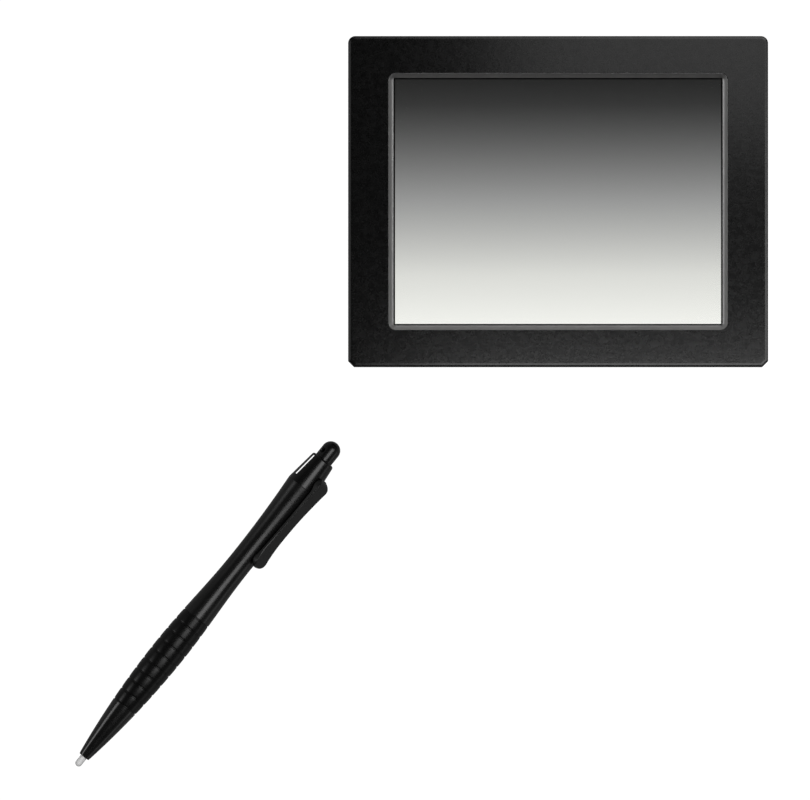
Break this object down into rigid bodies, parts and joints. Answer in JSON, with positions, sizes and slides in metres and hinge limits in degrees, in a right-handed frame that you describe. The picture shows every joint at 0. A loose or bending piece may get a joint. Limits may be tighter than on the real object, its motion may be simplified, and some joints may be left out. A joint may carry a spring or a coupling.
{
  "type": "personal digital assistant with pen stylus",
  "caption": "Landscape touch handheld with a broad black frame round its screen, and a ringed pen stylus with clip, click button and grey nib lying beside it.",
  "frame": {"origin": "middle of the device's rear face, on the surface that it lies on", "axes": "+X to the device's right, +Y to its upper edge, +Z out of the screen"},
  "size_m": [0.245, 0.2583, 0.02],
  "materials": {
    "bezel_black": "satin, fine mottle with a faint sideways brush",
    "trim_grey": "satin",
    "gasket_black": "matte foam",
    "panel_clear": "clear, slightly satin",
    "flex_amber": "gloss film",
    "picture": "lit, plain grey gradient",
    "sheet_steel": "bare sheet",
    "guide_white": "milky",
    "cast_grey": "as cast",
    "board_green": "solder mask",
    "chip_black": "moulded",
    "contact_brass": "plated",
    "pack_grey": "shrink film",
    "cover_black": "fine spark texture",
    "screw_steel": "blackened steel",
    "part_black": "moulded",
    "button_black": "satin",
    "socket_steel": "plated sheet",
    "reset_white": "moulded",
    "nib_grey": "soft satin",
    "spring_steel": "bright wire",
    "nose_black": "gloss",
    "grip_black": "satin rings",
    "barrel_black": "satin",
    "gloss_black": "semi gloss",
    "clip_black": "fine matte texture"
  },
  "bodies": {
    "device": {"front_bezel": "bezel_black", "window_trim": "trim_grey", "panel_gasket": "gasket_black", "touch_panel": "panel_clear", "touch_cable": "flex_amber", "display_glass": "picture", "display_frame": "sheet_steel", "light_guide": "guide_white", "backlight_strip": "guide_white", "display_cable": "flex_amber", "chassis": "cast_grey", "main_board": "board_green", "processor": "chip_black", "memory_chips": "chip_black", "shield_can": "sheet_steel", "backup_cell": "sheet_steel", "battery_contacts": "contact_brass", "battery_pack": "pack_grey", "rear_cover": "cover_black", "case_screws": "screw_steel", "board_screws": "screw_steel", "speaker": "part_black", "microphone": "sheet_steel", "power_switch": "part_black", "headphone_jack": "part_black", "sync_socket": "socket_steel", "card_socket": "socket_steel", "reset_switch": "part_black"},
    "battery_door": {"battery_door": "cover_black"},
    "power_button": {"power_button": "button_black"},
    "reset_button": {"reset_button": "reset_white"},
    "card_blank": {"card_blank": "button_black"},
    "stylus": {"stylus_barrel": "barrel_black", "stylus_nose": "nose_black", "stylus_grip": "grip_black", "stylus_collar": "gloss_black", "nib_spring": "spring_steel"},
    "click_button": {"click_button": "gloss_black", "click_cam": "guide_white"},
    "nib": {"stylus_nib": "nib_grey", "nib_carrier": "screw_steel"},
    "clip": {"stylus_clip": "clip_black"}
  },
  "joints": [
    {"name": "battery_door_slide", "type": "slide", "parent": "device", "child": "battery_door", "axis": [0, -1, 0], "range_m": [0, 0.052]},
    {"name": "power_press", "type": "slide", "parent": "device", "child": "power_button", "axis": [0, -1, 0], "range_m": [0, 0.0006], "stiffness_N_per_m": 600},
    {"name": "reset_press", "type": "slide", "parent": "device", "child": "reset_button", "axis": [0, 0, 1], "range_m": [0, 0.0004], "stiffness_N_per_m": 400},
    {"name": "card_slide", "type": "slide", "parent": "device", "child": "card_blank", "axis": [1, 0, 0], "range_m": [0, 0.034]},
    {"name": "stylus_lift", "type": "slide", "parent": "device", "child": "stylus", "axis": [0, 0, 1], "range_m": [0, 0.08]},
    {"name": "click_slide", "type": "slide", "parent": "stylus", "child": "click_button", "axis": [0.628, 0.7782, 0], "range_m": [-0.001, 0.0046]},
    {"name": "nib_slide", "type": "slide", "parent": "stylus", "child": "nib", "axis": [0.628, 0.7782, 0], "range_m": [-0.001, 0.0046]},
    {"name": "clip_flex", "type": "hinge", "parent": "stylus", "child": "clip", "pos_m": [-0.08478, -0.09954, 0.00881], "axis": [-0.4791, 0.3866, 0.788], "range_deg": [0, 5], "stiffness_Nm_per_rad": 1}
  ],
  "couplings": [
    {"joint": "nib_slide", "follows": "click_slide", "ratio": 1}
  ]
}
